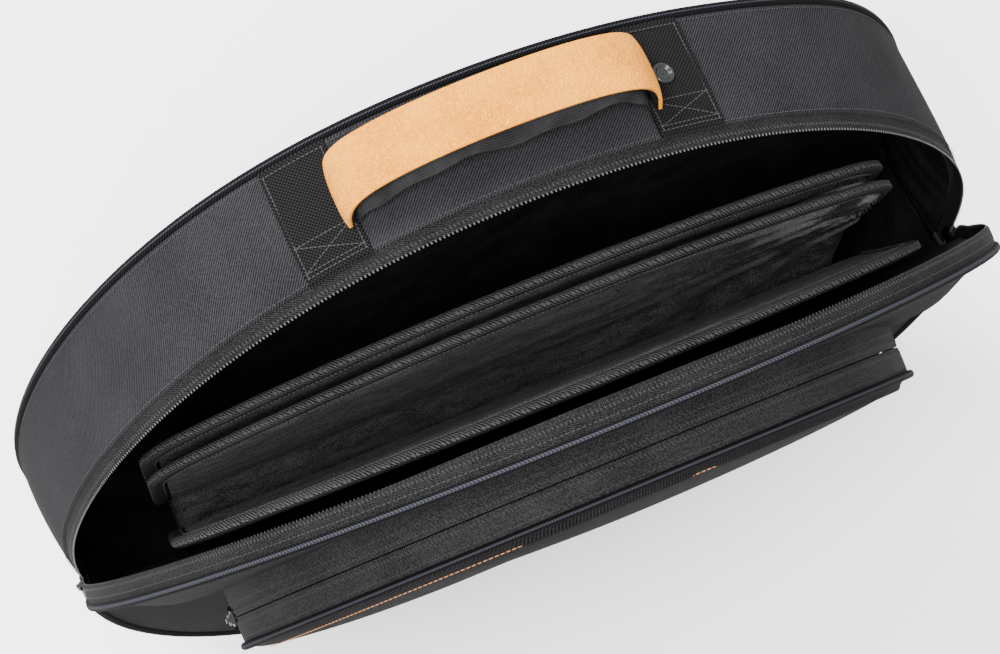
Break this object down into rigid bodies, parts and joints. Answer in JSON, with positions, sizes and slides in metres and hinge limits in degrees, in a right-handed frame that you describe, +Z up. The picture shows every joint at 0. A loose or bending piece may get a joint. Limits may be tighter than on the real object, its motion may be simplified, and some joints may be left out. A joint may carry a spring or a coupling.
{
  "type": "cymbal bag",
  "caption": "Round padded cymbal bag standing upright, main zip open, with leaning dividers, a zipped front pocket and a suede carry handle.",
  "frame": {"origin": "middle of the flat that the bag stands on, in the plane of its back face", "axes": "+X across the bag, to the right of a viewer who faces the front; -Y out of the front; +Z up"},
  "size_m": [0.6066, 0.2279, 0.622],
  "materials": {
    "outer_fabric": "coated woven polyester, matt",
    "panel_foam": "closed-cell foam",
    "woven_lining": "smooth woven lining",
    "piping_braid": "ribbed braid over a cord core",
    "zip_tape": "herringbone woven tape",
    "zip_coil": "nylon coil",
    "webbing": "heavy basket-weave webbing",
    "black_rivet": "black enamelled cap",
    "rivet_steel": "plated washer",
    "suede": "brushed suede",
    "grip_lining": "thin folded fabric",
    "divider_plush": "short-pile plush over board",
    "divider_binding": "folded twill binding",
    "zip_metal": "polished nickel"
  },
  "bodies": {
    "case": {"back_cover": "outer_fabric", "back_foam": "panel_foam", "back_lining": "woven_lining", "back_piping": "piping_braid", "upper_gusset": "outer_fabric", "lower_gusset": "outer_fabric", "upper_gusset_lining": "woven_lining", "lower_gusset_lining": "woven_lining", "body_zip_tape": "zip_tape", "body_zip_coil": "zip_coil", "zip_closed_ends": "zip_tape", "zip_end_tabs": "outer_fabric", "lower_front_cover": "outer_fabric", "lower_front_foam": "panel_foam", "lower_front_lining": "woven_lining", "lower_front_piping": "piping_braid", "left_handle_patch": "webbing", "right_handle_patch": "webbing", "rivet_caps": "black_rivet", "rivet_washers": "rivet_steel", "handle_strap_ends": "webbing", "divider_1_web": "divider_plush", "divider_2_web": "divider_plush", "divider_3_web": "divider_plush"},
    "front_panel": {"front_cover": "outer_fabric", "front_foam": "panel_foam", "front_lining": "woven_lining", "front_piping": "piping_braid", "front_zip_tape": "zip_tape", "front_zip_coil": "zip_coil", "pocket_rear_tape": "zip_tape", "pocket_rear_coil": "zip_coil", "pocket_bottom_strip": "outer_fabric", "pocket_end_tabs": "outer_fabric"},
    "pocket_flap": {"pocket_face": "outer_fabric", "pocket_front_tape": "zip_tape", "pocket_front_coil": "zip_coil", "pocket_piping": "piping_braid"},
    "divider_1": {"divider_1_board": "divider_plush", "divider_1_binding": "divider_binding"},
    "divider_2": {"divider_2_board": "divider_plush", "divider_2_binding": "divider_binding"},
    "divider_3": {"divider_3_board": "divider_plush", "divider_3_binding": "divider_binding"},
    "carry_handle": {"handle_core": "webbing", "handle_grip": "suede", "handle_lining": "grip_lining"},
    "left_zip": {"left_slider": "zip_metal"},
    "left_pull": {"left_puller": "zip_metal"},
    "right_zip": {"right_slider": "zip_metal"},
    "right_pull": {"right_puller": "zip_metal"},
    "pocket_zip": {"pocket_slider": "zip_metal"},
    "pocket_pull": {"pocket_puller": "zip_metal"}
  },
  "joints": [
    {"name": "front_fold", "type": "hinge", "parent": "case", "child": "front_panel", "pos_m": [0, -0.104, 0.268], "axis": [1, 0, 0], "range_deg": [-20.5, 66]},
    {"name": "divider_1_lean", "type": "hinge", "parent": "case", "child": "divider_1", "pos_m": [0, -0.044, 0.267], "axis": [1, 0, 0], "range_deg": [-12.5, 40.5]},
    {"name": "divider_2_lean", "type": "hinge", "parent": "case", "child": "divider_2", "pos_m": [0, -0.056, 0.265], "axis": [1, 0, 0], "range_deg": [-13, 42]},
    {"name": "divider_3_lean", "type": "hinge", "parent": "case", "child": "divider_3", "pos_m": [0, -0.086, 0.279], "axis": [1, 0, 0], "range_deg": [-20, 64.5]},
    {"name": "pocket_open", "type": "hinge", "parent": "front_panel", "child": "pocket_flap", "pos_m": [0, -0.16428, 0.25801], "axis": [1, 0, 0], "range_deg": [0, 35]},
    {"name": "left_zip_travel", "type": "hinge", "parent": "case", "child": "left_zip", "pos_m": [0, -0.0866, 0.288], "axis": [0, 1, 0], "range_deg": [0, 89]},
    {"name": "left_pull_swing", "type": "hinge", "parent": "left_zip", "child": "left_pull", "pos_m": [-0.30061, -0.0866, 0.25853], "axis": [0, 1, 0], "range_deg": [-3, 150]},
    {"name": "right_zip_travel", "type": "hinge", "parent": "case", "child": "right_zip", "pos_m": [0, -0.0866, 0.288], "axis": [0, 1, 0], "range_deg": [-89, 0]},
    {"name": "right_pull_swing", "type": "hinge", "parent": "right_zip", "child": "right_pull", "pos_m": [0.30061, -0.0866, 0.25853], "axis": [0, 1, 0], "range_deg": [-150, 3]},
    {"name": "pocket_zip_travel", "type": "hinge", "parent": "front_panel", "child": "pocket_zip", "pos_m": [0, -0.1475, 0.27519], "axis": [0, 0.9627, 0.2706], "range_deg": [0, 174]},
    {"name": "pocket_pull_swing", "type": "hinge", "parent": "pocket_zip", "child": "pocket_pull", "pos_m": [-0.22391, -0.14961, 0.28272], "axis": [0, 0.9627, 0.2706], "range_deg": [-1, 150]},
    {"name": "handle_swing", "type": "hinge", "parent": "case", "child": "carry_handle", "pos_m": [0, -0.04, 0.58], "axis": [1, 0, 0], "range_deg": [-20, 20]}
  ],
  "couplings": [
    {"joint": "divider_1_lean", "follows": "front_fold", "ratio": 0.609},
    {"joint": "divider_2_lean", "follows": "front_fold", "ratio": 0.634},
    {"joint": "divider_3_lean", "follows": "front_fold", "ratio": 0.975}
  ]
}
